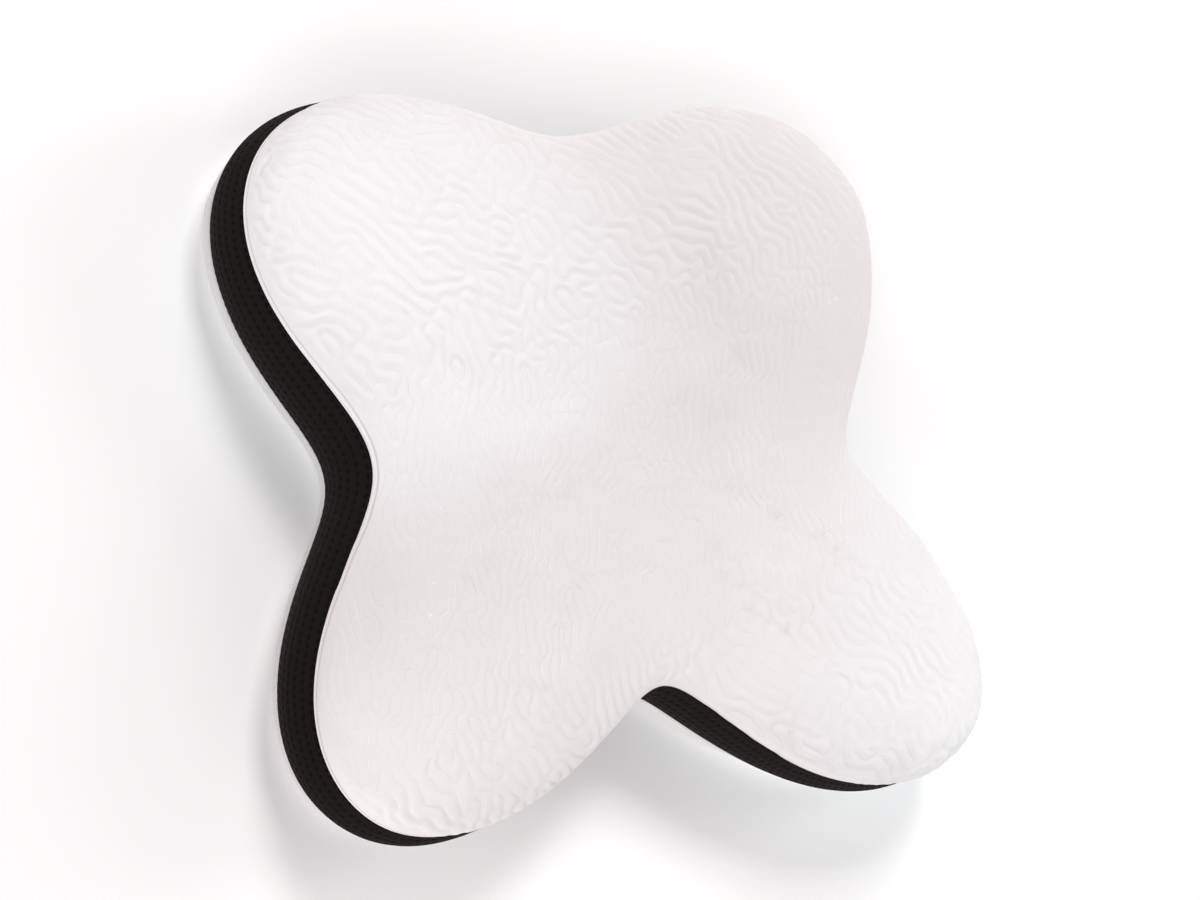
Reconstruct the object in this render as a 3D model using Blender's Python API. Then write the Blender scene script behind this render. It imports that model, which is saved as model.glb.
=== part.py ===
"""Four-lobed cervical pillow lying on its back.

A foam pillow in a sewn cover. The cover has three cut panels: a white knitted
top panel with a crown, a black air-mesh band round the sides, and a white back
panel that rests on the bed. The filled body is split at the two seams, so each
panel has its own solid, with the filling behind it.

X runs across the pillow, Y from its lower lobes to its upper lobes, Z up from
the face it rests on. The origin is under the middle of the pillow. Metres.
"""

import math

import bmesh
import bpy
from mathutils import Vector

# Outline of the front seam: each lobe tip and each waist between two lobes,
# counted anticlockwise, with its direction in degrees and its distance from
# the middle of the pillow.
OUTLINE = (
    # name, direction, reach
    ("right waist", -3.0, 0.168),
    ("upper right lobe", 43.5, 0.263),
    ("upper waist", 93.5, 0.189),
    ("upper left lobe", 136.0, 0.274),
    ("left waist", 183.0, 0.163),
    ("lower left lobe", 229.0, 0.274),
    ("lower waist", 274.5, 0.150),
    ("lower right lobe", 321.0, 0.315),
)

# Heights above the bed.
BACK_SEAM_HEIGHT = 0.012
FRONT_SEAM_AT_LOBE = 0.053
FRONT_SEAM_AT_WAIST = 0.073
CRADLE_HEIGHT = 0.085
WAIST_HEIGHT = 0.089
LOBE_TOP_HEIGHT = 0.104

# Roundings, all measured square to the outline.
CROWN_ROLL_AT_LOBE = 0.042
CROWN_ROLL_AT_WAIST = 0.056
CROWN_LIP = 0.010
CROWN_ROLL_POWER = 1.35
BAND_BULGE = 0.0065
BAND_FLARE = 0.030
BACK_ROLL_WIDTH = 0.012
BACK_ROLL_BULGE = 0.0010
CORNER_BULGE = 0.0030
CORNER_DIRECTION = 150.0
CORNER_SPREAD = 26.0

# Lobe domes and the cradle in the middle.
DOME_PLACE = 0.66
DOME_RADIUS = 0.085
DOME_OVERLAP_LIMIT = 1.2
CRADLE_RADIUS = 0.080
CRADLE_POWER = 2.0

# The panels stand this far apart at a seam.
SEAM_GAP = 0.0003

# The outline's direction is read over this many degrees on either side.
SLOPE_STEP = 0.25

# Mesh steps.
AROUND = 96
CROWN_ROLL_RINGS = 8
CROWN_INNER_RINGS = 9
CUT_RINGS = 5
BAND_RINGS = 8
BACK_ROLL_RINGS = 6
SHARP_EDGE_ANGLE = 50.0


def eased(low, high, share):
    """A value that leaves low and reaches high with no slope at either end."""
    return low + (high - low) * (1.0 - math.cos(math.pi * share)) / 2.0


def outline_span(direction):
    """The two stations on either side of a direction, and the share of the way between them."""
    turn = direction
    while turn < OUTLINE[0][1]:
        turn += 360.0
    while turn >= OUTLINE[0][1] + 360.0:
        turn -= 360.0
    for index, station in enumerate(OUTLINE):
        following = OUTLINE[(index + 1) % len(OUTLINE)]
        end = following[1] if following[1] > station[1] else following[1] + 360.0
        if turn < end:
            return index, station, following, (turn - station[1]) / (end - station[1])
    raise ValueError("direction outside the outline")


def reach(direction):
    """Distance from the middle to the front seam in a direction."""
    _, station, following, share = outline_span(direction)
    return eased(station[2], following[2], share)


def lobe_share(direction):
    """1 at a lobe tip and 0 at a waist."""
    index, _, _, share = outline_span(direction)
    rising = eased(0.0, 1.0, share)
    return rising if index % 2 == 0 else 1.0 - rising


def outline_point(direction):
    """A point of the front seam, seen from above."""
    angle = math.radians(direction)
    return Vector((math.cos(angle), math.sin(angle))) * reach(direction)


def outward(direction):
    """The direction square to the outline, away from the pillow."""
    along = outline_point(direction + SLOPE_STEP) - outline_point(direction - SLOPE_STEP)
    return Vector((along.y, -along.x)).normalized()


def front_seam_height(direction):
    """The front seam dips round the lobes and climbs at the waists."""
    return eased(FRONT_SEAM_AT_WAIST, FRONT_SEAM_AT_LOBE, lobe_share(direction))


def roll_width(direction):
    """How far in from the seam the top panel rolls over: less round the lobes, which turn tightly."""
    return eased(CROWN_ROLL_AT_WAIST, CROWN_ROLL_AT_LOBE, lobe_share(direction))


def flared(point, share):
    """The outline a little wider towards the back: share is 0 at the front seam, 1 at the back seam."""
    return Vector((point.x * (1.0 + BAND_FLARE * share), point.y))


def lobe_tops():
    """The places of the four domes, seen from above."""
    return [outline_point(station[1]) * DOME_PLACE for station in OUTLINE[1::2]]


def crown_height(place):
    """Height of the top panel away from its edge: four domes, valleys between them and a cradle."""
    domes = sum(math.exp(-((place - top).length / DOME_RADIUS) ** 2) for top in lobe_tops())
    cradle = math.exp(-(place.length / CRADLE_RADIUS) ** CRADLE_POWER)
    valley = WAIST_HEIGHT + (CRADLE_HEIGHT - WAIST_HEIGHT) * cradle
    return valley + (LOBE_TOP_HEIGHT - WAIST_HEIGHT) * min(domes, DOME_OVERLAP_LIMIT)


def cut_height(direction, share):
    """Height of the face between the top panel and the band: share is 0 in the middle, 1 at the seam."""
    middle = (FRONT_SEAM_AT_LOBE + FRONT_SEAM_AT_WAIST) / 2.0
    return middle + (front_seam_height(direction) - middle) * share ** 2


def crown_point(direction, ring):
    """A point of the top panel: rings count from the middle out to the seam, just past which it bulges."""
    seam = outline_point(direction)
    inward = -outward(direction)
    base = cut_height(direction, 1.0) + SEAM_GAP
    width = roll_width(direction)
    roll_edge = seam + inward * width
    if ring <= CROWN_INNER_RINGS:
        place = roll_edge * (ring / CROWN_INNER_RINGS)
        return place.x, place.y, crown_height(place)
    share = (ring - CROWN_INNER_RINGS) / CROWN_ROLL_RINGS
    turn = math.radians(90.0 * (1.0 - share))
    place = seam + inward * (width * (1.0 - math.cos(turn)) - CROWN_LIP * math.sin(2.0 * turn))
    rise = math.sin(turn) ** CROWN_ROLL_POWER
    return place.x, place.y, base + (crown_height(place) - base) * rise


def cut_point(direction, ring, rise):
    """A point of the face between two panels: rings count from the middle out to the seam."""
    share = ring / CUT_RINGS
    place = outline_point(direction) * share
    return place.x, place.y, cut_height(direction, share) + rise


def band_point(direction, ring):
    """A point of the side band: rings count from the front seam down to the back seam."""
    share = ring / BAND_RINGS
    place = flared(outline_point(direction), share)
    place += outward(direction) * BAND_BULGE * math.sin(math.pi * share)
    top = front_seam_height(direction)
    bottom = BACK_SEAM_HEIGHT + SEAM_GAP
    return place.x, place.y, top + (bottom - top) * share


def back_bulge(direction):
    """How far the back panel's roll stands out past its seam, most at the upper left lobe."""
    offset = (direction - CORNER_DIRECTION + 180.0) % 360.0 - 180.0
    corner = CORNER_BULGE * math.exp(-(offset / CORNER_SPREAD) ** 2)
    return BACK_ROLL_BULGE + corner


def back_point(direction, ring):
    """A point of the back panel's roll: rings count from the back seam down to the resting face."""
    turn = math.radians(90.0 * ring / BACK_ROLL_RINGS)
    seam = flared(outline_point(direction), 1.0)
    inset = BACK_ROLL_WIDTH * (1.0 - math.cos(turn))
    place = seam + outward(direction) * (back_bulge(direction) * math.sin(2.0 * turn) - inset)
    return place.x, place.y, BACK_SEAM_HEIGHT * (1.0 - math.sin(turn))


def middle_shift():
    """Moves the pillow so that its widest outline is centred on the origin."""
    directions = [360.0 * step / AROUND for step in range(AROUND)]
    crown_rim = range(CROWN_INNER_RINGS, CROWN_INNER_RINGS + CROWN_ROLL_RINGS + 1)
    points = [crown_point(direction, ring) for direction in directions for ring in crown_rim]
    points += [band_point(direction, ring) for direction in directions for ring in range(BAND_RINGS + 1)]
    points += [back_point(direction, ring) for direction in directions for ring in range(BACK_ROLL_RINGS + 1)]
    across = [point[0] for point in points]
    along = [point[1] for point in points]
    return Vector((-(min(across) + max(across)) / 2.0, -(min(along) + max(along)) / 2.0, 0.0))


def top_panel_profile(direction, ring):
    """Rings of the top panel's solid, from the crown over the edge to the middle of its cut face."""
    rim = CROWN_INNER_RINGS + CROWN_ROLL_RINGS
    if ring <= rim:
        return crown_point(direction, ring)
    return cut_point(direction, CUT_RINGS - (ring - rim), SEAM_GAP)


def side_band_profile(direction, ring):
    """Rings of the band's solid: its cut face, its side and its flat lower face."""
    if ring <= CUT_RINGS:
        return cut_point(direction, ring, 0.0)
    if ring <= CUT_RINGS + BAND_RINGS:
        return band_point(direction, ring - CUT_RINGS)
    return 0.0, 0.0, BACK_SEAM_HEIGHT + SEAM_GAP


def back_panel_profile(direction, ring):
    """Rings of the back panel's solid: its flat upper face, its roll and its flat resting face."""
    if ring == 0:
        return 0.0, 0.0, BACK_SEAM_HEIGHT
    if ring <= BACK_ROLL_RINGS + 1:
        return back_point(direction, ring - 1)
    return 0.0, 0.0, 0.0


def filled_form(name, rings, profile, material, collection):
    """A closed solid: a sphere whose rings of points are moved onto the profile."""
    form = bmesh.new()
    bmesh.ops.create_uvsphere(form, u_segments=AROUND, v_segments=rings, radius=1.0)
    shift = middle_shift()
    for vert in form.verts:
        ring = round(math.acos(max(-1.0, min(1.0, vert.co.z))) / math.pi * rings)
        direction = round(math.degrees(math.atan2(vert.co.y, vert.co.x)) / 360.0 * AROUND) * 360.0 / AROUND
        vert.co = Vector(profile(direction, ring)) + shift
    bmesh.ops.recalc_face_normals(form, faces=form.faces)
    # The short diagonal is the same on both faces of a seam, so they stay the seam gap apart.
    bmesh.ops.triangulate(form, faces=form.faces, quad_method="SHORT_EDGE")
    mesh = bpy.data.meshes.new(name)
    form.to_mesh(mesh)
    form.free()
    mesh.shade_smooth()
    mesh.set_sharp_from_angle(angle=math.radians(SHARP_EDGE_ANGLE))
    mesh.materials.append(material)
    piece = bpy.data.objects.new(name, mesh)
    collection.objects.link(piece)
    return piece


def cloth(name, colour, roughness):
    """A plain woven or knitted finish."""
    material = bpy.data.materials.new(name)
    material.use_nodes = True
    shader = material.node_tree.nodes["Principled BSDF"]
    shader.inputs["Base Color"].default_value = (*colour, 1.0)
    shader.inputs["Roughness"].default_value = roughness
    shader.inputs["Metallic"].default_value = 0.0
    return material


def main():
    for thing in list(bpy.data.objects):
        bpy.data.objects.remove(thing, do_unlink=True)
    pillow = bpy.data.collections.new("cervical_pillow")
    bpy.context.scene.collection.children.link(pillow)

    white_knit = cloth("white_knit", (0.83, 0.81, 0.81), 0.85)
    black_mesh = cloth("black_air_mesh", (0.014, 0.011, 0.010), 0.75)
    white_back = cloth("white_back_cloth", (0.74, 0.73, 0.72), 0.85)

    crown_rings = CROWN_INNER_RINGS + CROWN_ROLL_RINGS + CUT_RINGS
    filled_form("top_panel", crown_rings, top_panel_profile, white_knit, pillow)
    filled_form("side_band", CUT_RINGS + BAND_RINGS + 1, side_band_profile, black_mesh, pillow)
    filled_form("back_panel", BACK_ROLL_RINGS + 2, back_panel_profile, white_back, pillow)


main()
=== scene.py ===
"""Cervical pillow: a foam body in a sewn cover, lying on its back on a pale floor.

The cover is three padded pieces. The top panel is a double-layer blister knit
with a worm-like relief, raised in the mesh. The side band is a black air mesh,
its holes sunk in the mesh. The back panel is a plain brushed knit.
"""

import math

import bmesh
import bpy
import numpy as np
from mathutils import Euler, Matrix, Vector


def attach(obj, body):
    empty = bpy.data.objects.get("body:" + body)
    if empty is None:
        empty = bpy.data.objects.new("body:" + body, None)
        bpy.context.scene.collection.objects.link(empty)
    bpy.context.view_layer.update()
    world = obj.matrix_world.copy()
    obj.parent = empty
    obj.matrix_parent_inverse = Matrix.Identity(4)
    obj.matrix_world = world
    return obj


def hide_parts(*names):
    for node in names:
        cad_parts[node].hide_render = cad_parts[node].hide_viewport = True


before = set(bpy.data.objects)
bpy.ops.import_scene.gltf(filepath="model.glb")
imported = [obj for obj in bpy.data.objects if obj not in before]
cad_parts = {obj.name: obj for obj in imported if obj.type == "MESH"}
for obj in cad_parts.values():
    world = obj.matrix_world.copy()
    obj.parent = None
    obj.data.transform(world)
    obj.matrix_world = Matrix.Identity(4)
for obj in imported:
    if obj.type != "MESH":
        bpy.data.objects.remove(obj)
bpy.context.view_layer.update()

# The body's sizes in metres and its turns in degrees, as in the part's source.
OUTLINE = (
    # name, direction in degrees, reach
    ("right waist", -3.0, 0.168),
    ("upper right lobe", 43.5, 0.263),
    ("upper waist", 93.5, 0.189),
    ("upper left lobe", 136.0, 0.274),
    ("left waist", 183.0, 0.163),
    ("lower left lobe", 229.0, 0.274),
    ("lower waist", 274.5, 0.150),
    ("lower right lobe", 321.0, 0.315),
)
BACK_SEAM_HEIGHT = 0.012
FRONT_SEAM_AT_LOBE = 0.053
FRONT_SEAM_AT_WAIST = 0.073
CRADLE_HEIGHT = 0.085
WAIST_HEIGHT = 0.089
LOBE_TOP_HEIGHT = 0.104
CROWN_ROLL_AT_LOBE = 0.042
CROWN_ROLL_AT_WAIST = 0.056
CROWN_LIP = 0.010
CROWN_ROLL_POWER = 1.35
BAND_BULGE = 0.0065
BAND_FLARE = 0.030
BACK_ROLL_WIDTH = 0.012
BACK_ROLL_BULGE = 0.0010
CORNER_BULGE = 0.0030
CORNER_DIRECTION = 150.0
CORNER_SPREAD = 26.0
DOME_PLACE = 0.66
DOME_RADIUS = 0.085
DOME_OVERLAP_LIMIT = 1.2
CRADLE_RADIUS = 0.080
SLOPE_STEP = 0.25

# The steps of the part's own solids, which its shift to the middle was read from
PART_STEPS_AROUND = 96
PART_ROLL_STEPS = 8
PART_BAND_STEPS = 8
PART_BACK_STEPS = 6

# The camera stands where the photo's stood: to the pillow's left, about 30 degrees off square to its face.
CAMERA_PLACE = (-0.7605, -0.1915, 1.3277)
CAMERA_TURN = (11.29, -29.12, -7.68)
CAMERA_LENS = 72.1

# Blister relief of the top panel. Puffs about 8 mm wide lean one way over the top of the panel and
# over the tips of its lower lobes, and narrow ridges 6 mm wide run up and down between them.
PUFF_SPACING = 0.0165
PUFF_HEIGHT = 0.00125
PUFF_GROOVE = 0.0023
PUFF_LEAN = math.radians(58.0)
PUFF_LEAN_SPREAD = 0.95
RIDGE_SPACING = 0.0122
RIDGE_HEIGHT = 0.00058
RIDGE_GROOVE = 0.0016
RIDGE_LEAN = math.radians(-6.0)
RIDGE_LEAN_SPREAD = 0.72
SPACING_SPREAD = 0.26
WAVE_COUNT = 60
UPPER_CHANGE = (0.030, 0.110)
LOWER_CHANGE = (-0.165, -0.105)
CHANGE_TILT = 0.3
RELIEF_SEED = 7
# A worm's height runs from 0.4 below the cloth in its groove to 0.6 above it on its back.
BACK_OF_WORM = 0.6
# Distance from the seam over which the worms rise
WORM_FADE = (0.004, 0.019)
# Where the pattern is nearly flat, the place of its groove is unsure and no line is drawn.
LEAST_STEEPNESS = 0.2
SURE_STEEPNESS = (0.45, 0.90)
# How far the stitched line and its painted highlight go missing on the puffs, and the least share of them
# that is left
LINE_LOSS_ON_PUFFS = 0.85
THINNEST_LINE = 0.05
LUMP_SPACING = 0.075
LUMP_HEIGHT = 0.0004
LUMP_WAVES = 24
LUMP_FADE = 0.03

# The surround: its tint, and its strength at the horizon and overhead
WORLD_TINT = (1.0, 0.935, 0.945, 1.0)
WORLD_LOW = 1.15
WORLD_HIGH = 0.17

# The turned-in edge of the top panel: a rounded rim beside the seam, then a stitched groove. On the left
# the rim stands free, and elsewhere the cloth bulges over it.
RIM_WIDTH = 0.0018
RIM_HEIGHT = 0.0014
RIM_REACH = 0.012
RIM_GROOVE = 0.0038
GROOVE_WIDTH = 0.0009
FREE_RIM_DIRECTION = 178.0
FREE_RIM_SPREAD = 52.0

# Cloth simulation of the top panel, whose coarse result is smoothed a few times.
CLOTH_STEPS = 76
CLOTH_FRAMES = 20
CLOTH_PRESSURE = 0.15
CLOTH_LOOSENESS = 0.0025
CLOTH_CAP = 0.0025
CLOTH_SMOOTHINGS = 6

# Holes of the air mesh: how many along the band, how many rows across it, how deep in metres, and their
# half sizes in pitches
HOLES_AROUND = 346
HOLE_ROWS = 8
HOLE_DEPTH = 0.0007
HOLE_HALF_LENGTH = 0.30
HOLE_HALF_WIDTH = 0.17
# Two sets of holes, half a pitch apart both ways
HOLE_OFFSETS = ((0.0, 0.25), (0.5, 0.75))

# How the band and the back tuck in at their seams
BAND_WIDTH = 0.052
BAND_TUCK = 0.0010
BAND_TUCK_WIDTH = 0.0016
BACK_TUCK = 0.0008
BACK_TUCK_WIDTH = 0.0014
# The length of a quarter turn is about 1.5 times its radius.
QUARTER_TURN = 1.5

# Mesh steps, and how the open edges close inside the pillow
TOP_STEPS = 304
INNER_SHARE = 0.72
RIM_CROWDING = 1.3
BAND_STEPS_PER_HOLE = 4
BAND_STEPS_PER_ROW = 5
BACK_AROUND = 512
BACK_RINGS = 26
BACK_FACE_RINGS = 3
BACK_ROLL_RINGS = 14
ROUND_STEPS = 3601
CLOSING_SCALES = (0.985, 0.5)
TOP_CLOSING_HEIGHT = 0.058
BAND_CLOSING_HEIGHT = 0.056

# Too far off for a line or a hole to show, in millimetres or in pitches
FAR_AWAY = 9.0
# The numbers stored for the materials are in millimetres.
MILLIMETRES = 1000.0


# Shape of the body

def turned(direction):
    """Directions in degrees moved into the outline's own turn."""
    start = OUTLINE[0][1]
    return (np.asarray(direction, float) - start) % 360.0 + start


def turn_from(direction, middle):
    """Degrees from a middle direction, from -180 to 180."""
    return (direction - middle + 180.0) % 360.0 - 180.0


def eased(share):
    """A share from 0 to 1 that starts and ends gently."""
    return (1.0 - np.cos(np.pi * share)) / 2.0


def outline_parts(direction):
    """Reach from the middle to the front seam, and how near a lobe tip it is, from 0 to 1."""
    directions = np.array([row[1] for row in OUTLINE] + [OUTLINE[0][1] + 360.0])
    reaches = np.array([row[2] for row in OUTLINE] + [OUTLINE[0][2]])
    turn = turned(direction)
    index = np.clip(np.searchsorted(directions, turn, side="right") - 1, 0, len(OUTLINE) - 1)
    share = (turn - directions[index]) / (directions[index + 1] - directions[index])
    ease = eased(share)
    reach = reaches[index] + (reaches[index + 1] - reaches[index]) * ease
    return reach, np.where(index % 2 == 0, ease, 1.0 - ease)


def outline_point(direction):
    """Points of the front seam seen from above."""
    reach, _ = outline_parts(direction)
    angle = np.radians(direction)
    return np.stack([reach * np.cos(angle), reach * np.sin(angle)], axis=-1)


def outward(direction):
    """Directions square to the outline, away from the pillow."""
    along = outline_point(direction + SLOPE_STEP) - outline_point(direction - SLOPE_STEP)
    square = np.stack([along[..., 1], -along[..., 0]], axis=-1)
    return square / np.linalg.norm(square, axis=-1, keepdims=True)


def front_seam_height(direction):
    """The front seam dips round the lobes and climbs at the waists."""
    _, lobe = outline_parts(direction)
    return FRONT_SEAM_AT_WAIST + (FRONT_SEAM_AT_LOBE - FRONT_SEAM_AT_WAIST) * eased(lobe)


def roll_width(direction):
    """How far in from the seam the top panel rolls over: less round the lobes."""
    _, lobe = outline_parts(direction)
    return CROWN_ROLL_AT_WAIST + (CROWN_ROLL_AT_LOBE - CROWN_ROLL_AT_WAIST) * eased(lobe)


def flared(place, share):
    """The outline a little wider towards the back: share is 1 at the back seam."""
    return place * np.stack([1.0 + BAND_FLARE * share, np.ones_like(share)], axis=-1)


def crown_height(place):
    """Height of the top panel away from its edge: four domes, valleys between them and a cradle."""
    tops = [outline_point(np.array(row[1])) * DOME_PLACE for row in OUTLINE[1::2]]
    domes = sum(np.exp(-((place - top) ** 2).sum(axis=-1) / DOME_RADIUS ** 2) for top in tops)
    cradle = np.exp(-(place ** 2).sum(axis=-1) / CRADLE_RADIUS ** 2)
    valley = WAIST_HEIGHT + (CRADLE_HEIGHT - WAIST_HEIGHT) * cradle
    return valley + (LOBE_TOP_HEIGHT - WAIST_HEIGHT) * np.minimum(domes, DOME_OVERLAP_LIMIT)


def crown_surface(direction, share):
    """The top panel: share is 0 in the middle, INNER_SHARE where the edge starts to roll, 1 at the seam."""
    seam = outline_point(direction)
    inward = -outward(direction)
    base = front_seam_height(direction)
    turn = np.radians(90.0) * np.clip((1.0 - share) / (1.0 - INNER_SHARE), 0.0, 1.0) ** RIM_CROWDING
    width = roll_width(direction)
    from_left = turn_from(direction, FREE_RIM_DIRECTION)
    lip = CROWN_LIP * (1.0 - np.exp(-(from_left / FREE_RIM_SPREAD) ** 2))
    rolled = seam + inward * (width * (1.0 - np.cos(turn)) - lip * np.sin(2.0 * turn))[..., None]
    inner = (seam + inward * width[..., None]) * np.clip(share / INNER_SHARE, 0.0, 1.0)[..., None]
    place = np.where((share < INNER_SHARE)[..., None], inner, rolled)
    rise = np.sin(turn) ** CROWN_ROLL_POWER
    height = base + (crown_height(place) - base) * rise
    return np.concatenate([place, height[..., None]], axis=-1)


def band_surface(direction, share):
    """The side band: share is 0 at the front seam and 1 at the back seam."""
    place = flared(outline_point(direction), share)
    place = place + outward(direction) * (BAND_BULGE * np.sin(np.pi * share))[..., None]
    top = front_seam_height(direction)
    height = top + (BACK_SEAM_HEIGHT - top) * share
    return np.concatenate([place, height[..., None]], axis=-1)


def back_surface(direction, share):
    """The back panel's roll: share is 0 at the back seam and 1 at the resting face."""
    turn = np.radians(90.0) * share
    from_corner = turn_from(direction, CORNER_DIRECTION)
    bulge = BACK_ROLL_BULGE + CORNER_BULGE * np.exp(-(from_corner / CORNER_SPREAD) ** 2)
    out = bulge * np.sin(2.0 * turn) - BACK_ROLL_WIDTH * (1.0 - np.cos(turn))
    place = flared(outline_point(direction), np.ones_like(share)) + outward(direction) * out[..., None]
    height = BACK_SEAM_HEIGHT * (1.0 - np.sin(turn))
    return np.concatenate([place, height[..., None]], axis=-1)


def middle_shift():
    """The same shift, read at the same points, as in the part's source. It centres the body on the origin."""
    direction = np.arange(0.0, 360.0, 360.0 / PART_STEPS_AROUND)
    rolls = INNER_SHARE + (1.0 - INNER_SHARE) * np.arange(PART_ROLL_STEPS + 1) / PART_ROLL_STEPS
    rows = [crown_surface(direction, np.full_like(direction, share)) for share in rolls]
    for surface, steps in ((band_surface, PART_BAND_STEPS), (back_surface, PART_BACK_STEPS)):
        rows += [surface(direction, np.full_like(direction, step / steps)) for step in range(steps + 1)]
    points = np.concatenate(rows)
    return np.append(-(points[:, :2].min(axis=0) + points[:, :2].max(axis=0)) / 2.0, 0.0)


SHIFT = middle_shift()


# Mesh helpers

def positions(mesh):
    """The mesh's points as rows of three."""
    values = np.empty(len(mesh.vertices) * 3)
    mesh.vertices.foreach_get("co", values)
    return values.reshape(-1, 3)


def normals(mesh):
    """The mesh's smooth normals as rows of three."""
    values = np.empty(len(mesh.vertices) * 3)
    mesh.vertices.foreach_get("normal", values)
    return values.reshape(-1, 3)


def set_positions(mesh, points):
    """Moves the mesh's points."""
    mesh.vertices.foreach_set("co", points.ravel())
    mesh.update()


def set_attribute(mesh, name, values):
    """A number at each point, which a material reads."""
    layer = mesh.attributes.new(name, "FLOAT", "POINT")
    layer.data.foreach_set("value", np.asarray(values, np.float32))


def set_cloth_map(mesh, flat):
    """A UV map that gives each corner the place of its point on the flat cloth."""
    layer = mesh.uv_layers.get("cloth") or mesh.uv_layers.new(name="cloth")
    corners = np.empty(len(mesh.loops), int)
    mesh.loops.foreach_get("vertex_index", corners)
    layer.data.foreach_set("uv", np.asarray(flat, np.float32)[corners].ravel())


def grid_mesh(x_steps, y_steps):
    """A flat square grid from -1 to 1 with a UV map from 0 to 1."""
    form = bmesh.new()
    form.loops.layers.uv.new("cloth")
    bmesh.ops.create_grid(form, x_segments=x_steps, y_segments=y_steps, size=1.0, calc_uvs=True)
    return form


def mesh_of(form, name):
    """A new mesh from a form, which is then freed."""
    mesh = bpy.data.meshes.new(name)
    form.to_mesh(mesh)
    form.free()
    return mesh


def close_ring(form, ring, middle):
    """Closes an open ring of edges: it is extruded inwards step by step and merged at the middle."""
    for scale in CLOSING_SCALES:
        made = bmesh.ops.extrude_edge_only(form, edges=ring)["geom"]
        for point in (part for part in made if isinstance(part, bmesh.types.BMVert)):
            point.co = middle + (point.co - middle) * scale
        ring = [part for part in made if isinstance(part, bmesh.types.BMEdge) and part.is_boundary]
    points = {point for edge in ring for point in edge.verts}
    bmesh.ops.pointmerge(form, verts=list(points), merge_co=middle)


def write_closed(form, mesh):
    """Writes a closed form back to its mesh with its faces pointing outwards, and frees it."""
    bmesh.ops.recalc_face_normals(form, faces=form.faces)
    form.to_mesh(mesh)
    form.free()


def waves(flat, spacing, count, seed, spread, lean=0.0, lean_spread=np.pi):
    """A seeded field of ripples of one spacing that mostly cross the lean, and its slope."""
    draw = np.random.default_rng(seed)
    total = np.zeros(len(flat))
    slope = np.zeros((len(flat), 2))
    for _ in range(count):
        heading = lean + draw.uniform(-lean_spread, lean_spread)
        number = 2.0 * np.pi / (spacing * (1.0 + draw.uniform(-spread, spread)))
        phase = draw.uniform(0.0, 2.0 * np.pi)
        across = np.array([np.cos(heading), np.sin(heading)]) * number
        turn = flat @ across + phase
        total += np.cos(turn)
        slope -= np.sin(turn)[:, None] * across
    level = math.sqrt(count / 2.0)
    return total / level, slope / level


def smooth_step(value, low, high):
    """0 below low and 1 above high, with no corner between."""
    share = np.clip((value - low) / (high - low), 0.0, 1.0)
    return share * share * (3.0 - 2.0 * share)


def puff_share(flat):
    """1 where the relief is puffs and 0 where it is ridges."""
    height = flat[:, 1] - CHANGE_TILT * flat[:, 0]
    return np.maximum(smooth_step(height, *UPPER_CHANGE), 1.0 - smooth_step(height, *LOWER_CHANGE))


def groove_distance(flat):
    """Distance in metres from the nearest stitched groove, and how sure that groove's line is."""
    puff = (PUFF_SPACING, WAVE_COUNT, RELIEF_SEED, SPACING_SPREAD, PUFF_LEAN, PUFF_LEAN_SPREAD)
    ridge = (RIDGE_SPACING, WAVE_COUNT, RELIEF_SEED + 1, SPACING_SPREAD, RIDGE_LEAN, RIDGE_LEAN_SPREAD)
    puffs, puff_slope = waves(flat, *puff)
    ridges, ridge_slope = waves(flat, *ridge)
    blend = np.radians(90.0) * puff_share(flat)
    field = puffs * np.sin(blend) + ridges * np.cos(blend)
    slope = puff_slope * np.sin(blend)[:, None] + ridge_slope * np.cos(blend)[:, None]
    steep = np.linalg.norm(slope, axis=1)
    usual = 2.0 * np.pi / (RIDGE_SPACING + (PUFF_SPACING - RIDGE_SPACING) * puff_share(flat))
    away = field / np.maximum(steep, LEAST_STEEPNESS * usual)
    return away, smooth_step(steep / usual, *SURE_STEEPNESS)


def settled(shape):
    """How far each point of a coarse cloth, sewn down at its edge, moves as it fills out over the foam."""
    mesh = mesh_of(grid_mesh(CLOTH_STEPS, CLOTH_STEPS), "coarse_cloth")
    square = positions(mesh)[:, :2]
    start = shape(square)
    set_positions(mesh, start)
    cloth = bpy.data.objects.new("coarse_cloth", mesh)
    bpy.context.scene.collection.objects.link(cloth)
    seam = cloth.vertex_groups.new(name="seam")
    rim = np.abs(square).max(axis=1) > 1.0 - 0.5 / CLOTH_STEPS
    seam.add([int(index) for index in np.flatnonzero(rim)], 1.0, "REPLACE")
    filling = cloth.modifiers.new("filling", "CLOTH")
    settings = filling.settings
    settings.vertex_group_mass = "seam"
    settings.tension_stiffness = 12.0
    settings.compression_stiffness = 12.0
    settings.shear_stiffness = 4.0
    settings.bending_stiffness = 0.4
    settings.shrink_min = -CLOTH_LOOSENESS
    settings.use_pressure = True
    settings.uniform_pressure_force = CLOTH_PRESSURE
    settings.effector_weights.gravity = 0.0
    filling.collision_settings.use_collision = False
    for moment in range(1, CLOTH_FRAMES + 1):
        bpy.context.scene.frame_set(moment)
    filled = cloth.evaluated_get(bpy.context.evaluated_depsgraph_get())
    moved = positions(filled.data) - start
    bpy.context.scene.frame_set(1)
    bpy.data.objects.remove(cloth, do_unlink=True)
    far = np.linalg.norm(moved, axis=1, keepdims=True)
    moved = moved * np.minimum(1.0, CLOTH_CAP / np.maximum(far, 1e-9))
    place = np.round((square + 1.0) / 2.0 * CLOTH_STEPS).astype(int)
    table = np.zeros((CLOTH_STEPS + 1, CLOTH_STEPS + 1, 3))
    table[place[:, 1], place[:, 0]] = moved
    return table


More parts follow.
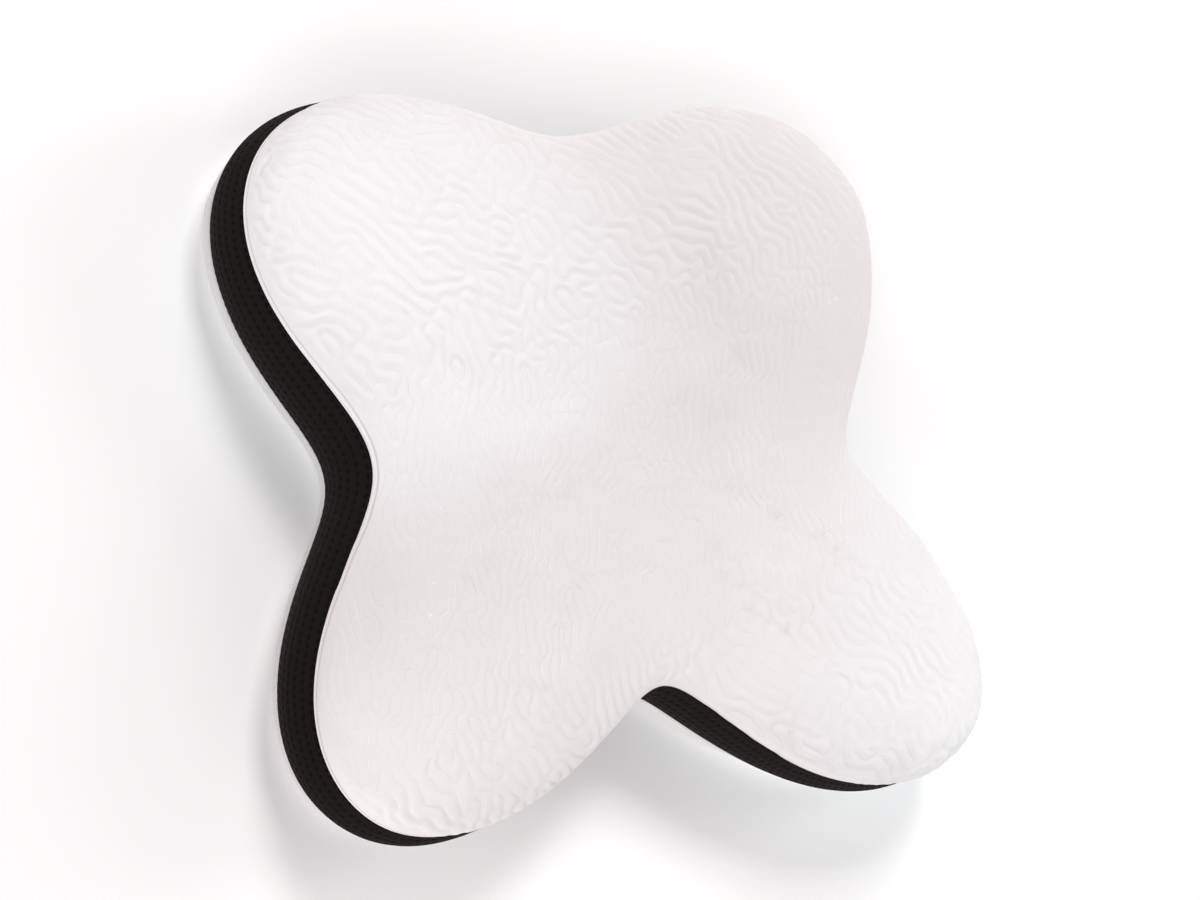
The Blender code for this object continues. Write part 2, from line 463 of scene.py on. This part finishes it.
def finer(table, square, steps):
    """The coarse cloth's moves read at the points of a finer grid, and smoothed there."""
    coarse = np.linspace(0.0, 1.0, len(table))
    fine = np.linspace(0.0, 1.0, steps + 1)
    for axis in (0, 1):
        table = np.apply_along_axis(lambda line: np.interp(fine, coarse, line), axis, table)
    for _ in range(CLOTH_SMOOTHINGS):
        middle = table[1:-1, 1:-1]
        sides = table[:-2, 1:-1] + table[2:, 1:-1] + table[1:-1, :-2] + table[1:-1, 2:]
        table[1:-1, 1:-1] = middle * 0.5 + sides * 0.125
    place = np.round((square + 1.0) / 2.0 * steps).astype(int)
    return table[place[:, 1], place[:, 0]]


def finished(name, mesh, material):
    """An object of the mesh, shaded smooth, with its material."""
    mesh.name = name
    mesh.shade_smooth()
    mesh.materials.clear()
    mesh.materials.append(material)
    piece = bpy.data.objects.new(name, mesh)
    bpy.context.scene.collection.objects.link(piece)
    return piece


def length_along(line):
    """Length from the start of a line to each of its points."""
    return np.concatenate([[0.0], np.cumsum(np.linalg.norm(np.diff(line, axis=0), axis=1))])


def path_length(surface, direction, share, steps=160):
    """Length along the cloth from share 0, in each direction."""
    around = np.arange(0.0, 360.0, 1.0)
    shares = np.linspace(0.0, 1.0, steps + 1)
    rows = np.stack([surface(around, np.full_like(around, value)) for value in shares])
    pieces = np.linalg.norm(np.diff(rows, axis=0), axis=-1)
    lengths = np.concatenate([np.zeros((1, len(around))), np.cumsum(pieces, axis=0)])
    place = direction % 360.0
    low = np.floor(place).astype(int) % 360
    high = (low + 1) % 360
    across = place - np.floor(place)
    row = np.clip(share * steps, 0, steps - 1e-6)
    base = row.astype(int)
    part = row - base

    def at(column):
        """Lengths in whole columns, between two rows."""
        return lengths[base, column] * (1.0 - part) + lengths[base + 1, column] * part

    return at(low) * (1.0 - across) + at(high) * across


# Materials

def linear(hex_colour):
    """An sRGB hex colour as linear red, green, blue and alpha."""
    parts = [int(hex_colour[i:i + 2], 16) / 255.0 for i in (1, 3, 5)]
    return (*[p / 12.92 if p <= 0.04045 else ((p + 0.055) / 1.055) ** 2.4 for p in parts], 1.0)


def add_node(tree, kind, inputs=None, **settings):
    """Adds a node with its settings, and gives each input a value or a link."""
    made = tree.nodes.new(kind)
    for name, value in settings.items():
        setattr(made, name, value)
    for socket, value in (inputs or {}).items():
        if isinstance(value, bpy.types.NodeSocket):
            tree.links.new(value, made.inputs[socket])
        else:
            made.inputs[socket].default_value = value
    return made


def new_material(name):
    """An empty material with a Principled shader."""
    material = bpy.data.materials.new(name)
    material.use_nodes = True
    tree = material.node_tree
    return material, tree, tree.nodes["Principled BSDF"]


def white_blister_knit():
    """Polyester blister knit, matt and soft, with a painted highlight along the thin stitched lines between
    its raised worms, and painted shade in the groove beside the seam.
    """
    material, tree, shader = new_material("white_blister_knit")
    cloth = add_node(tree, "ShaderNodeUVMap", uv_map="cloth").outputs["UV"]
    stitch = add_node(tree, "ShaderNodeAttribute", attribute_name="stitch").outputs["Fac"]
    seam = add_node(tree, "ShaderNodeAttribute", attribute_name="seam").outputs["Fac"]

    # The stitched line between two ridges is about 0.6 mm wide, and a lighter colour along it is a painted
    # highlight.
    # The painted highlight is stronger in some patches, about 26 mm across, than in others.
    away = add_node(tree, "ShaderNodeMath", {0: stitch}, operation="ABSOLUTE").outputs[0]
    line = add_node(tree, "ShaderNodeMapRange", {
        "Value": away, "From Min": 0.10, "From Max": 0.50, "To Min": 1.0, "To Max": 0.0,
    }, interpolation_type="SMOOTHSTEP").outputs[0]
    patches = add_node(tree, "ShaderNodeTexNoise", {
        "Vector": cloth, "Scale": 38.0, "Detail": 1.0,
    }).outputs["Fac"]
    line_and_highlight_share = add_node(tree, "ShaderNodeMapRange", {
        "Value": patches, "From Min": 0.38, "From Max": 0.62, "To Min": 0.15, "To Max": 1.0,
    }).outputs[0]
    painted_highlight = add_node(tree, "ShaderNodeMath", {0: line, 1: line_and_highlight_share}, operation="MULTIPLY").outputs[0]

    # The rim beside the seam is parted from the panel by a groove, and its shade is painted as a darker
    # colour along it.
    from_groove = add_node(tree, "ShaderNodeMath", {
        0: seam, 1: RIM_GROOVE * MILLIMETRES,
    }, operation="SUBTRACT").outputs[0]
    from_groove = add_node(tree, "ShaderNodeMath", {0: from_groove}, operation="ABSOLUTE").outputs[0]
    groove = add_node(tree, "ShaderNodeMapRange", {
        "Value": from_groove, "From Min": 0.0, "From Max": GROOVE_WIDTH * MILLIMETRES,
        "To Min": 1.0, "To Max": 0.0,
    }, interpolation_type="SMOOTHSTEP").outputs[0]

    # Loops of yarn 0.7 mm apart, drawn twice as coarse as real ones so that they show.
    yarn = add_node(tree, "ShaderNodeTexNoise", {
        "Vector": cloth, "Scale": 1400.0, "Detail": 1.0,
    }).outputs["Fac"]
    # The white is a little uneven, in areas about 60 mm across.
    soft = add_node(tree, "ShaderNodeTexNoise", {
        "Vector": cloth, "Scale": 16.0, "Detail": 3.0,
    }).outputs["Fac"]

    tint = add_node(tree, "ShaderNodeMix", {
        "Factor": soft, "A": linear("#DDD9D9"), "B": linear("#E2DFDF"),
    }, data_type="RGBA").outputs["Result"]
    # A lighter colour along the stitched line: a painted highlight.
    with_painted_highlight = add_node(tree, "ShaderNodeMix", {
        "Factor": painted_highlight, "A": tint, "B": linear("#EFEDED"),
    }, data_type="RGBA").outputs["Result"]
    # Painted shade: a darker colour along the groove beside the seam.
    colour = add_node(tree, "ShaderNodeMix", {
        "Factor": groove, "A": with_painted_highlight, "B": linear("#C9C2C2"),
    }, data_type="RGBA").outputs["Result"]
    tree.links.new(colour, shader.inputs["Base Color"])

    sunk = add_node(tree, "ShaderNodeMath", {0: line, 1: -0.6, 2: 0.0}, operation="MULTIPLY_ADD").outputs[0]
    sunk = add_node(tree, "ShaderNodeMath", {
        0: groove, 1: -1.0, 2: sunk,
    }, operation="MULTIPLY_ADD").outputs[0]
    height = add_node(tree, "ShaderNodeMath", {
        0: yarn, 1: 0.20, 2: sunk,
    }, operation="MULTIPLY_ADD").outputs[0]
    bump = add_node(tree, "ShaderNodeBump", {"Height": height, "Strength": 0.6, "Distance": 0.0004})
    tree.links.new(bump.outputs["Normal"], shader.inputs["Normal"])
    shader.inputs["Roughness"].default_value = 0.82
    shader.inputs["Sheen Weight"].default_value = 0.10
    shader.inputs["Sheen Roughness"].default_value = 0.4
    shader.inputs["Specular IOR Level"].default_value = 0.2
    return material


def black_air_mesh():
    """Polyester spacer mesh: dull black yarn with rows of small oval holes, the shade inside them painted
    near-black.
    """
    material, tree, shader = new_material("black_air_mesh")
    cloth = add_node(tree, "ShaderNodeUVMap", uv_map="cloth").outputs["UV"]
    axes = add_node(tree, "ShaderNodeSeparateXYZ", {"Vector": cloth}).outputs

    def wrapped(value, count, offset):
        """Distance from the nearest of count even places, in pitches."""
        scaled = add_node(tree, "ShaderNodeMath", {
            0: value, 1: count, 2: offset,
        }, operation="MULTIPLY_ADD").outputs[0]
        part = add_node(tree, "ShaderNodeMath", {0: scaled}, operation="FRACT").outputs[0]
        return add_node(tree, "ShaderNodeMath", {0: part, 1: 0.5}, operation="SUBTRACT").outputs[0]

    hole = None
    for along_offset, across_offset in HOLE_OFFSETS:
        along = wrapped(axes["X"], HOLES_AROUND, along_offset)
        across = wrapped(axes["Y"], HOLE_ROWS / 2, across_offset)
        place = add_node(tree, "ShaderNodeCombineXYZ", {"X": along, "Y": across}).outputs[0]
        sized = add_node(tree, "ShaderNodeVectorMath", {
            0: place, 1: (1 / HOLE_HALF_LENGTH, 2 / HOLE_HALF_WIDTH, 0.0),
        }, operation="MULTIPLY").outputs[0]
        radius = add_node(tree, "ShaderNodeVectorMath", {0: sized}, operation="LENGTH").outputs["Value"]
        if hole is None:
            hole = radius
        else:
            hole = add_node(tree, "ShaderNodeMath", {0: hole, 1: radius}, operation="MINIMUM").outputs[0]
    # The shade in the holes is painted: 0 in a hole, 1 on the yarn.
    yarn_clear_of_shade = add_node(tree, "ShaderNodeMapRange", {
        "Value": hole, "From Min": 0.75, "From Max": 1.25,
    }, interpolation_type="SMOOTHSTEP").outputs[0]

    # The cloth turns in at both seams, and the shade in these turns is painted in the same near-black as the
    # holes.
    middle_away = add_node(tree, "ShaderNodeMath", {0: axes["Y"], 1: 0.5}, operation="SUBTRACT").outputs[0]
    middle_away = add_node(tree, "ShaderNodeMath", {0: middle_away}, operation="ABSOLUTE").outputs[0]
    clear_of_seam_shade = add_node(tree, "ShaderNodeMapRange", {
        "Value": middle_away, "From Min": 0.465, "From Max": 0.490, "To Min": 1.0, "To Max": 0.0,
    }).outputs[0]
    yarn_clear_of_shade = add_node(tree, "ShaderNodeMath", {0: yarn_clear_of_shade, 1: clear_of_seam_shade}, operation="MINIMUM").outputs[0]

    # The yarn runs across the band in ribs about 1 mm wide.
    mapping = add_node(tree, "ShaderNodeMapping", {"Vector": cloth, "Scale": (1750.0, 55.0, 1.0)}).outputs[0]
    yarn = add_node(tree, "ShaderNodeTexNoise", {
        "Vector": mapping, "Scale": 0.9, "Detail": 2.0,
    }).outputs["Fac"]
    lit = add_node(tree, "ShaderNodeMix", {
        "Factor": yarn, "A": linear("#0F0A0A"), "B": linear("#1A1312"),
    }, data_type="RGBA").outputs["Result"]
    # Painted shade: the holes and the turned-in cloth at both seams take a near-black colour.
    colour = add_node(tree, "ShaderNodeMix", {
        "Factor": yarn_clear_of_shade, "A": linear("#050404"), "B": lit,
    }, data_type="RGBA").outputs["Result"]
    tree.links.new(colour, shader.inputs["Base Color"])
    height = add_node(tree, "ShaderNodeMath", {
        0: yarn, 1: 0.35, 2: yarn_clear_of_shade,
    }, operation="MULTIPLY_ADD").outputs[0]
    bump = add_node(tree, "ShaderNodeBump", {"Height": height, "Strength": 0.6, "Distance": 0.0006})
    tree.links.new(bump.outputs["Normal"], shader.inputs["Normal"])
    shader.inputs["Roughness"].default_value = 0.8
    shader.inputs["Specular IOR Level"].default_value = 0.10
    return material


def white_back_knit():
    """Brushed plain polyester knit: matt, fuzzy, and slightly greyer than the top."""
    material, tree, shader = new_material("white_back_knit")
    place = add_node(tree, "ShaderNodeTexCoord").outputs["Object"]
    # The fuzz is in tufts about 1.6 mm apart, and the white is uneven in areas about 55 mm across.
    fuzz = add_node(tree, "ShaderNodeTexNoise", {
        "Vector": place, "Scale": 620.0, "Detail": 3.0,
    }).outputs["Fac"]
    soft = add_node(tree, "ShaderNodeTexNoise", {
        "Vector": place, "Scale": 18.0, "Detail": 3.0,
    }).outputs["Fac"]
    colour = add_node(tree, "ShaderNodeMix", {
        "Factor": soft, "A": linear("#D3CFCF"), "B": linear("#DBD8D8"),
    }, data_type="RGBA").outputs["Result"]
    tree.links.new(colour, shader.inputs["Base Color"])
    bump = add_node(tree, "ShaderNodeBump", {"Height": fuzz, "Strength": 0.4, "Distance": 0.0004})
    tree.links.new(bump.outputs["Normal"], shader.inputs["Normal"])
    shader.inputs["Roughness"].default_value = 0.85
    shader.inputs["Sheen Weight"].default_value = 0.12
    shader.inputs["Specular IOR Level"].default_value = 0.25
    return material


# Pieces

def square_polar(square):
    """Direction and share from the middle of points on the square grid, whose corners go to the lobes."""
    share = np.abs(square).max(axis=1)
    # Place round the square: 0 at the middle of its right side, 1 at its upper right corner, 8 in all.
    turn = np.arctan2(square[:, 1], square[:, 0]) / np.radians(45.0)
    side = np.round(turn / 2.0)
    place = (2.0 * side + np.tan(np.radians(45.0) * (turn - 2.0 * side))) % 8.0

    # Even steps from lobe to lobe, along a line half-way to the roll.
    corners = [direction for name, direction, _ in OUTLINE if "lobe" in name]
    corners = np.array(corners + [corners[0] + 360.0])
    fine = np.linspace(corners[0], corners[-1], ROUND_STEPS)
    line = crown_surface(fine, np.full_like(fine, INNER_SHARE))[:, :2]
    line = line + crown_surface(fine, np.ones_like(fine))[:, :2]
    lengths = length_along(line)
    at_corners = np.interp(corners, fine, lengths)
    at_place = np.interp((place - 1.0) % 8.0, 2.0 * np.arange(5), at_corners)
    return np.interp(at_place, lengths, fine) % 360.0, share


def top_panel():
    """The crowned top panel. A square grid suits it, because its corners go to the four lobes."""
    mesh = mesh_of(grid_mesh(TOP_STEPS, TOP_STEPS), "top_panel_cloth")
    square = positions(mesh)[:, :2]
    direction, share = square_polar(square)

    def shape(places):
        """The crown before the cloth settles on it."""
        return crown_surface(*square_polar(places)) + SHIFT

    points = shape(square) + finer(settled(shape), square, TOP_STEPS)
    set_positions(mesh, points)

    length = path_length(crown_surface, direction, share)
    roll_start = path_length(crown_surface, direction, np.full_like(share, INNER_SHARE))
    seam_away = path_length(crown_surface, direction, np.ones_like(share)) - length
    # The flat cloth is the view from above, carried on over the roll by the length of the roll.
    edge = crown_surface(direction, np.minimum(share, INNER_SHARE))[:, :2]
    flat = edge + outward(direction) * np.maximum(length - roll_start, 0.0)[:, None]
    groove_away, sure = groove_distance(flat)
    puffed = puff_share(flat)
    fade = smooth_step(seam_away, *WORM_FADE)
    width = RIDGE_GROOVE + (PUFF_GROOVE - RIDGE_GROOVE) * puffed
    high = RIDGE_HEIGHT + (PUFF_HEIGHT - RIDGE_HEIGHT) * puffed
    worms = high * fade * (BACK_OF_WORM - np.exp(-(groove_away / width) ** 2))
    lump, _ = waves(flat, LUMP_SPACING, LUMP_WAVES, RELIEF_SEED + 2, SPACING_SPREAD)
    lumps = LUMP_HEIGHT * lump * np.clip(seam_away / LUMP_FADE, 0.0, 1.0)
    rim = RIM_HEIGHT * (np.exp(-((seam_away - RIM_WIDTH) / RIM_WIDTH) ** 2) - np.exp(-1.0))
    rim = np.where(seam_away < RIM_REACH, rim, rim.min())
    set_positions(mesh, points + normals(mesh) * (worms + lumps + rim)[:, None])
    # The share of the stitched line that shows, both its sunk groove and its painted highlight, which is less
    # on the puffs.
    line_and_highlight_share = fade * sure * (1.0 - LINE_LOSS_ON_PUFFS * puffed)
    stitch = MILLIMETRES * groove_away / np.maximum(line_and_highlight_share, THINNEST_LINE)

    form = bmesh.new()
    form.from_mesh(mesh)
    ring = [edge for edge in form.edges if edge.is_boundary]
    close_ring(form, ring, Vector((0.0, 0.0, TOP_CLOSING_HEIGHT)))
    write_closed(form, mesh)
    extra = len(mesh.vertices) - len(stitch)
    set_attribute(mesh, "stitch", np.concatenate([stitch, np.full(extra, FAR_AWAY)]))
    set_attribute(mesh, "seam", np.concatenate([MILLIMETRES * seam_away, np.zeros(extra)]))
    set_cloth_map(mesh, np.concatenate([flat, np.zeros((extra, 2))]))
    return finished("top_panel_cloth", mesh, white_blister_knit())


def side_band():
    """The air-mesh band: a strip wrapped round the body, with its holes sunk."""
    grid = grid_mesh(HOLES_AROUND * BAND_STEPS_PER_HOLE, HOLE_ROWS * BAND_STEPS_PER_ROW)
    mesh = mesh_of(grid, "side_band_cloth")
    strip = (positions(mesh)[:, :2] + 1.0) / 2.0
    # Even steps along the seam, so that the holes are evenly spaced.
    fine = np.linspace(0.0, 360.0, ROUND_STEPS)
    lengths = length_along(band_surface(fine, np.full_like(fine, 0.5)))
    direction = np.interp(strip[:, 0] * lengths[-1], lengths, fine)
    share = 1.0 - strip[:, 1]
    points = band_surface(direction, share) + SHIFT

    radius = np.full(len(strip), FAR_AWAY)
    for along_offset, across_offset in HOLE_OFFSETS:
        along = (strip[:, 0] * HOLES_AROUND + along_offset) % 1.0 - 0.5
        rows = (strip[:, 1] * HOLE_ROWS / 2 + across_offset) % 1.0 - 0.5
        radius = np.minimum(radius, np.hypot(along / HOLE_HALF_LENGTH, 2.0 * rows / HOLE_HALF_WIDTH))
    sunk = -HOLE_DEPTH * np.exp(-radius ** 2)
    seam_away = np.minimum(share, 1.0 - share) * BAND_WIDTH
    tuck = -BAND_TUCK * np.exp(-(seam_away / BAND_TUCK_WIDTH) ** 2)
    out = np.concatenate([outward(direction), np.zeros((len(strip), 1))], axis=1)
    set_positions(mesh, points + out * (sunk + tuck)[:, None])

    form = bmesh.new()
    form.from_mesh(mesh)
    bmesh.ops.remove_doubles(form, verts=form.verts, dist=0.00002)
    open_edges = [edge for edge in form.edges if edge.is_boundary]
    middle_height = (BACK_SEAM_HEIGHT + FRONT_SEAM_AT_LOBE) / 2.0
    for upper, height in ((True, BAND_CLOSING_HEIGHT), (False, BACK_SEAM_HEIGHT)):
        ring = [edge for edge in open_edges if (edge.verts[0].co.z > middle_height) == upper]
        close_ring(form, ring, Vector((0.0, 0.0, height)))
    write_closed(form, mesh)
    return finished("side_band_cloth", mesh, black_air_mesh())


def back_panel():
    """The plain back panel with its roll and the flat face that it rests on."""
    form = bmesh.new()
    bmesh.ops.create_uvsphere(form, u_segments=BACK_AROUND, v_segments=BACK_RINGS, radius=1.0)
    mesh = mesh_of(form, "back_panel_cloth")
    ball = positions(mesh)
    direction = np.degrees(np.arctan2(ball[:, 1], ball[:, 0]))
    ring = np.round(np.arccos(np.clip(ball[:, 2], -1.0, 1.0)) / np.pi * BACK_RINGS)
    share = np.clip((ring - BACK_FACE_RINGS) / BACK_ROLL_RINGS, 0.0, 1.0)
    points = back_surface(direction, share)
    upper = np.clip(ring / BACK_FACE_RINGS, 0.0, 1.0)
    rest_rings = BACK_RINGS - BACK_FACE_RINGS - BACK_ROLL_RINGS
    lower = 1.0 - np.clip((ring - BACK_FACE_RINGS - BACK_ROLL_RINGS) / rest_rings, 0.0, 1.0)
    points[:, :2] *= (upper * lower)[:, None]
    seam_away = share * BACK_ROLL_WIDTH * QUARTER_TURN
    tuck = -BACK_TUCK * np.exp(-(seam_away / BACK_TUCK_WIDTH) ** 2) * (ring >= BACK_FACE_RINGS)
    points[:, :2] += outward(direction) * tuck[:, None]
    set_positions(mesh, points + SHIFT)
    form = bmesh.new()
    form.from_mesh(mesh)
    write_closed(form, mesh)
    return finished("back_panel_cloth", mesh, white_back_knit())


# Stage

def floor():
    """A plain white floor, which goes as white in the light as the photo's ground."""
    form = bmesh.new()
    bmesh.ops.create_grid(form, x_segments=1, y_segments=1, size=6.0)
    mesh = mesh_of(form, "floor")
    material, _, shader = new_material("pale_floor")
    shader.inputs["Base Color"].default_value = linear("#FFFFFF")
    shader.inputs["Roughness"].default_value = 0.9
    shader.inputs["Specular IOR Level"].default_value = 0.1
    piece = finished("floor", mesh, material)


def lamp(name, kind, place, aim, power, **settings):
    """A lamp that faces a point."""
    light = bpy.data.lights.new(name, kind)
    light.energy = power
    for setting, value in settings.items():
        setattr(light, setting, value)
    holder = bpy.data.objects.new(name, light)
    holder.location = place
    holder.rotation_euler = (Vector(aim) - Vector(place)).to_track_quat("-Z", "Y").to_euler()
    bpy.context.scene.collection.objects.link(holder)


def studio():
    """A faintly rosy surround, brightest low down, three broad lamps, and a soft spot on three lobes."""
    world = bpy.data.worlds.new("studio")
    world.use_nodes = True
    tree = world.node_tree
    background = tree.nodes["Background"]
    background.inputs["Color"].default_value = WORLD_TINT
    towards = add_node(tree, "ShaderNodeTexCoord").outputs["Generated"]
    up = add_node(tree, "ShaderNodeSeparateXYZ", {"Vector": towards}).outputs["Z"]
    strength = add_node(tree, "ShaderNodeMapRange", {
        "Value": up, "From Min": 0.0, "From Max": 1.0, "To Min": WORLD_LOW, "To Max": WORLD_HIGH,
    }).outputs[0]
    tree.links.new(strength, background.inputs["Strength"])
    bpy.context.scene.world = world
    lamp("overhead", "AREA", (0.30, 1.70, 2.20), (0.0, 0.0, 0.0), 34.5, size=0.8)
    lamp("front", "AREA", (-1.40, -1.50, 1.70), (0.0, 0.0, 0.0), 18.0, size=1.8)
    lamp("right", "AREA", (1.90, 0.10, 1.20), (0.0, 0.0, 0.0), 8.5, size=0.8)
    # In the photo the two left lobes and the lower right one are the brightest.
    spot = {"spot_blend": 1.0, "shadow_soft_size": 0.03, "spot_size": math.radians(9.0)}
    cool = (0.82, 0.98, 1.0)
    lamp("upper_left_spot", "SPOT", (-1.50, 0.30, 1.70), (-0.17, 0.10, 0.09), 54.0, color=cool, **spot)
    lamp("lower_right_spot", "SPOT", (1.30, -1.30, 1.70), (0.24, -0.19, 0.09), 66.0, color=cool, **spot)
    lamp("lower_left_spot", "SPOT", (-1.90, -1.20, 1.15), (-0.12, -0.23, 0.08), 62.0, **spot)
    bpy.context.scene.view_settings.view_transform = "Standard"


def camera():
    """The photo's view, on a frame 36 mm wide."""
    lens = bpy.data.cameras.new("camera")
    lens.lens = CAMERA_LENS
    lens.sensor_width = 36.0
    holder = bpy.data.objects.new("camera", lens)
    holder.location = CAMERA_PLACE
    holder.rotation_euler = Euler([math.radians(turn) for turn in CAMERA_TURN], "XYZ")
    bpy.context.scene.collection.objects.link(holder)
    bpy.context.scene.camera = holder


camera()
for make, node, slot in (
    (top_panel, "top_panel", "white_knit"),
    (side_band, "side_band", "black_air_mesh"),
    (back_panel, "back_panel", "white_back_cloth"),
):
    piece = make()
    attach(piece, "root")
    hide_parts(node)
floor()
studio()
